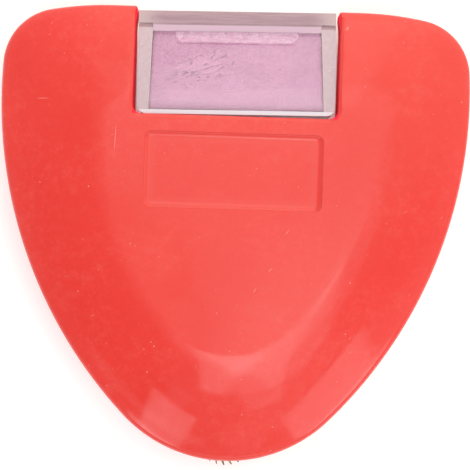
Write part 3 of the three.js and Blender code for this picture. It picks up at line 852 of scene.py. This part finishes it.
def catch_line(tree, straight):
    """A broken line of shade along the nail catch's lower edge."""
    across, up, _ = sides(tree, straight)
    height = times(tree, fade(tree, up, CATCH_LOW - 0.25 * MM, CATCH_LOW - 0.1 * MM),
                   fade(tree, up, CATCH_LOW + 0.1 * MM, CATCH_LOW - 0.05 * MM))
    line = times(tree, height, fade(tree, across, CATCH_HALF - 0.6 * MM, CATCH_HALF - 1.4 * MM))
    return times(tree, line, fade(tree, noise(tree, straight, 2.6 * MM, 2), 0.4, 0.55))


def clear_plastic():
    """Clear over the powder. The walls and the lid are clouded by dust inside them and by fine streaks
    from the mould, and the nail catch is scuffed."""
    material, tree, shader = new_material("clear_plastic")
    place = object_place(tree)
    skew = {"Vector": place, "Center": BOX_PIVOT, "Angle": -BOX_SKEW}
    straight = node(tree, "ShaderNodeVectorRotate", skew, rotation_type="Z_AXIS").outputs["Vector"]
    across, up, _ = sides(tree, straight)
    taper = PANE_DRAFT / (LID_FOOT - PANE_LOW)
    reach = maths(tree, "MULTIPLY_ADD", up, taper, across)
    pane_reach = PANE_HALF + LID_FOOT * taper
    wall = fade(tree, reach, pane_reach - 0.12 * MM, pane_reach - 0.04 * MM)
    lid = fade(tree, up, LID_EDGE - 0.05 * MM, LID_EDGE + 0.05 * MM)
    foot = fade(tree, up, PANE_LOW + 0.12 * MM, PANE_LOW + 0.04 * MM)
    outside_case = fade(tree, up, BOX_SEAT - 0.1 * MM, BOX_SEAT)
    clouded = times(tree, larger(tree, larger(tree, wall, lid), foot), outside_case)
    below_lid = fade(tree, up, LID_EDGE - 0.95 * MM, LID_EDGE - 0.7 * MM)
    under_lid = times(tree, below_lid, fade(tree, wall, 1, 0))
    catch_reach = block_reach(tree, straight, CATCH_HALF, CATCH_LOW, CATCH_LOW + 8 * MM, CATCH_RADIUS)
    catch = fade(tree, catch_reach, CATCH_RADIUS + 0.05 * MM, CATCH_RADIUS - 0.25 * MM)
    colour = mixed(tree, under_lid, CLEAR_COLOUR, UNDER_LID_COLOUR)
    colour = mixed(tree, times(tree, catch, fade(tree, under_lid, 1, 0)), colour, CATCH_COLOUR)
    colour = mixed(tree, catch_line(tree, straight), colour, CATCH_LINE_COLOUR)
    lid_streaks = stretched(tree, straight, 14, 1, 14)
    colour = mixed(tree, clouded, colour, clouded_colour(tree, straight, lid_streaks, wall, lid, foot))
    tree.links.new(colour, shader.inputs["Base Color"])
    scuffs = fade(tree, noise(tree, straight, 0.6 * MM, 5, 0.75), 0.35, 0.65, 0.12, 0.3)
    dust = times(tree, specks(tree, straight, 3.1 * MM, 0.12 * MM), 0.6)
    milky = larger(tree, times(tree, clouded, 0.55), times(tree, lid, 0.8))
    milky = larger(tree, milky, larger(tree, times(tree, catch, scuffs), dust))
    milky = larger(tree, milky, times(tree, under_lid, 0.8))
    milky = larger(tree, milky, times(tree, foot, times(tree, outside_case, 0.85)))
    tree.links.new(fade(tree, milky, 0, 1, 1, 0), shader.inputs["Transmission Weight"])
    rubbing = scratches(tree, place, 1.7 * MM, 0.03 * MM, 7, 80)
    worn = maths(tree, "ADD", fade(tree, clouded, 0, 1, 0.01, 0.22), times(tree, rubbing, 0.2))
    tree.links.new(worn, shader.inputs["Roughness"])
    shader.inputs["IOR"].default_value = 1.49
    tree.links.new(bump(tree, noise(tree, lid_streaks, 0.8 * MM, 2), 0.004 * MM), shader.inputs["Normal"])
    return material


box = merged_copy("clear_cartridge", "refill_cartridge")
bpy.ops.object.mode_set(mode="EDIT")
bpy.ops.mesh.select_all(action="SELECT")
bpy.ops.mesh.dissolve_limited(angle_limit=FLAT_WITHIN)
bpy.ops.mesh.select_all(action="DESELECT")
bpy.ops.mesh.select_mode(type="EDGE")
bpy.ops.mesh.edges_select_sharp(sharpness=SHARP_FROM)
bpy.ops.mesh.bevel(offset=EDGE_SOFTENING, segments=2, affect="EDGES", clamp_overlap=True)
bpy.ops.mesh.select_mode(type="VERT")
bpy.ops.object.mode_set(mode="OBJECT")
box.visible_shadow = False  # lets the light through to the powder
finish(box, clear_plastic(), "cartridge", "refill_cartridge")
apply_modifier(box, "WEIGHTED_NORMAL", keep_sharp=True)


# Floor and lights
# A pale, faintly lit table top in a room that is brighter and warmer towards the back and the right,
# and soft boxes far away that show as pale patches on the case.

FLOOR_SIZE = 4
TABLE_GLOW = 0.22
PAPER_DARK = (0.93, 0.93, 0.93, 1)
PAPER_LIGHT = (0.95, 0.95, 0.95, 1)

bpy.ops.object.select_all(action="DESELECT")
bpy.ops.mesh.primitive_plane_add(size=FLOOR_SIZE)
floor = bpy.context.object
floor.name = "floor"
paper, paper_tree, paper_shader = new_material("pale_floor")
paper_grain = noise(paper_tree, object_place(paper_tree), 2 * MM, 4)
paper_colour = mixed(paper_tree, paper_grain, PAPER_DARK, PAPER_LIGHT)
paper_tree.links.new(paper_colour, paper_shader.inputs["Base Color"])
paper_shader.inputs["Roughness"].default_value = 0.9
paper_shader.inputs["Emission Color"].default_value = (1, 1, 1, 1)
paper_shader.inputs["Emission Strength"].default_value = TABLE_GLOW
floor.data.materials.append(paper)

LIGHT_DISTANCE = 3


def soft_box(name, bearing_degrees, tilt_degrees, width_degrees, height_degrees, radiance, roll_degrees=0):
    """An area light that faces the marker, by its bearing clockwise from +Y, its tilt from overhead, the
    angles that it fills seen from the marker, and its turn about its own middle."""
    turn, tilt = math.radians(bearing_degrees), math.radians(tilt_degrees)
    way = Vector((math.sin(turn) * math.sin(tilt), math.cos(turn) * math.sin(tilt), math.cos(tilt)))
    width, height = (2 * LIGHT_DISTANCE * math.tan(math.radians(angle) / 2)
                     for angle in (width_degrees, height_degrees))
    light = bpy.data.lights.new(name, "AREA")
    light.shape = "RECTANGLE"
    light.size, light.size_y = width, height
    light.energy = radiance * math.pi * width * height
    lamp = bpy.data.objects.new(name, light)
    lamp.location = way * LIGHT_DISTANCE
    lamp.rotation_euler = way.to_track_quat("Z", "Y").to_euler()
    lamp.rotation_euler.rotate_axis("Z", math.radians(-roll_degrees))
    lamp.visible_camera = False
    bpy.context.collection.objects.link(lamp)


# Name, bearing, tilt, width, height, radiance, roll
soft_box("overhead_card", 45, 7, 15, 16, 0.52)
soft_box("back_card", 349, 13.2, 6.5, 20, 0.29)
soft_box("back_strip", 6, 26, 8, 40, 0.47)
soft_box("window_left", 184.2, 11.9, 4.9, 15, 1.54, 7.3)
soft_box("window_middle", 158.7, 15.5, 8.5, 22.5, 0.78, 5.4)
soft_box("window_right", 144, 13.5, 10.2, 14.7, 0.58, -3.6)
soft_box("window_haze", 140.7, 12.4, 15.6, 18.7, 0.44, 32.7)
soft_box("window_near", 147.8, 8.1, 9.5, 13.1, 0.38, -16.6)
soft_box("low_right", 137.6, 47.9, 18.3, 30, 1.51, -3.6)
soft_box("low_right_haze", 157.7, 30.3, 11.2, 30, 0.29, 57.2)
soft_box("low_right_rim", 133, 54, 18, 12, 1.4)
soft_box("low_left", 207.6, 44.4, 12.9, 30, 1.53, 4.7)
soft_box("low_left_edge", 210.4, 36.7, 5, 30, 0.34, 16.5)
soft_box("low_left_end", 212.3, 39.4, 30, 3.6, 0.44, -10.3)
soft_box("low_left_rim", 212, 52, 16, 14, 1.6)
soft_box("front_card", 183, 52, 30, 10, 1.2)

WHITE_LIGHT = (1, 1, 1, 1)
WARM_LIGHT = (1, 0.98, 0.84, 1)


def plus(tree, base, value, factor):
    """The base and a value times a factor."""
    return maths(tree, "MULTIPLY_ADD", value, factor, base)


def light_room(tree):
    """Sets how strong and how warm the light of the room is in each direction."""
    direction = node(tree, "ShaderNodeTexCoord").outputs["Generated"]
    way = node(tree, "ShaderNodeSeparateXYZ", {"Vector": direction}).outputs
    right, rear, height = way["X"], way["Y"], way["Z"]
    bright_corner = times(tree, fade(tree, right, -0.2, 0), fade(tree, rear, -0.25, 0.1))
    front_glow = times(tree, fade(tree, right, -0.35, -0.05), fade(tree, rear, -0.08, -0.35))
    low_glow = plus(tree, plus(tree, 0.36, rear, 0.1), right, 0.12)
    side_glow = plus(tree, plus(tree, -0.1, rear, -0.25), right, -0.3)
    strength = larger(tree, plus(tree, 0.55, rear, 0.6), 0.27)
    strength = plus(tree, strength, bright_corner, 0.77)
    strength = plus(tree, strength, front_glow, 0.4)
    strength = plus(tree, strength, fade(tree, height, 0.82, 0.62), low_glow)
    strength = plus(tree, strength, fade(tree, height, 0.6, 0.45), side_glow)
    background = tree.nodes["Background"]
    tree.links.new(strength, background.inputs["Strength"])
    tree.links.new(mixed(tree, bright_corner, WHITE_LIGHT, WARM_LIGHT), background.inputs["Color"])


room = bpy.data.worlds.new("room")
room.use_nodes = True
light_room(room.node_tree)
bpy.context.scene.world = room
bpy.context.scene.view_settings.view_transform = "Standard"
